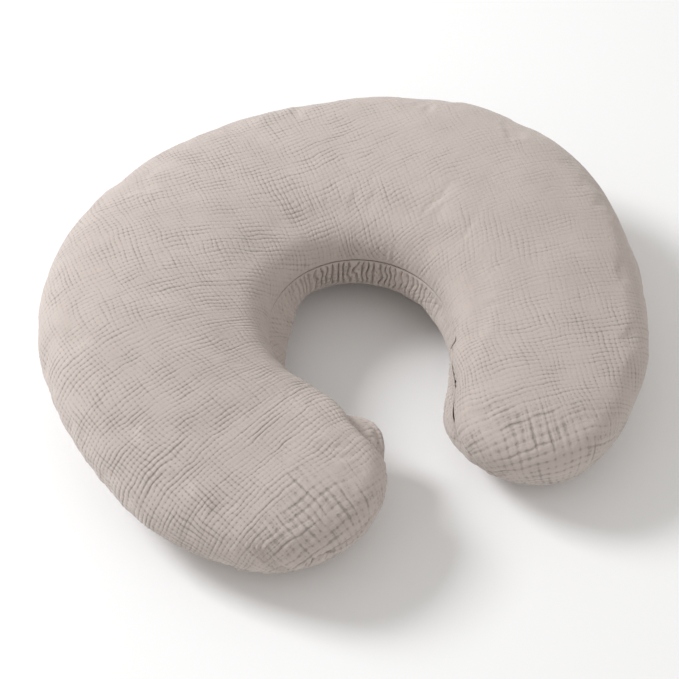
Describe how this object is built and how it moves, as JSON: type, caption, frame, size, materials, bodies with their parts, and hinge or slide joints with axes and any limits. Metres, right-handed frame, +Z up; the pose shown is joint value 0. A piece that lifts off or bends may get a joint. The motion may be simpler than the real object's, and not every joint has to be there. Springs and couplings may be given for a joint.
{
  "type": "nursing pillow",
  "caption": "C-shaped nursing pillow: crinkled cotton cover with a hidden zip on the inner curve, sewn inner casing and fibre fill.",
  "frame": {"origin": "on the floor, at the middle of the pillow's footprint", "axes": "+Z up; +Y towards the closed back of the C; the mouth between the tips opens towards -Y; +X to the pillow's right-hand arm"},
  "size_m": [0.5674, 0.4732, 0.1258],
  "materials": {
    "muslin": "warm greige crinkled double-gauze cotton, matt",
    "cover_thread": "matt polyester sewing thread in the cover's colour",
    "zip_tape": "woven polyester zip tape",
    "zip_coil": "nylon coil in the tape's colour",
    "zip_metal": "die-cast slider, pull and stops, painted in the tape's colour",
    "label": "blank white woven satin label",
    "casing_cotton": "plain white cotton",
    "casing_thread": "white sewing thread",
    "fibre": "white hollow-fibre filling"
  },
  "bodies": {
    "pillow": {"cover_top_panel": "muslin", "cover_bottom_panel": "muslin", "cover_seam_stitches": "cover_thread", "zip_tape_upper": "zip_tape", "zip_tape_lower": "zip_tape", "zip_tape_stitches_upper": "cover_thread", "zip_tape_stitches_lower": "cover_thread", "zip_coil_upper": "zip_coil", "zip_coil_lower": "zip_coil", "zip_top_stops": "zip_metal", "zip_bottom_stop": "zip_metal", "care_label": "label", "casing_top_panel": "casing_cotton", "casing_bottom_panel": "casing_cotton", "casing_seam_stitches": "casing_thread", "casing_closing_stitches": "casing_thread", "casing_label": "label", "fibre_fill": "fibre"},
    "zip_slider": {"zip_slider_body": "zip_metal"},
    "zip_pull": {"zip_pull_tab": "zip_metal"}
  },
  "joints": [
    {"name": "zip_travel", "type": "hinge", "parent": "pillow", "child": "zip_slider", "pos_m": [0, -0.03283, 0.07], "axis": [0, 0.0698, -0.9976], "range_deg": [0, 232]},
    {"name": "pull_swing", "type": "hinge", "parent": "zip_slider", "child": "zip_pull", "pos_m": [-0.07029, -0.06703, 0.06761], "axis": [0, -0.0698, 0.9976], "range_deg": [0, 170]}
  ]
}
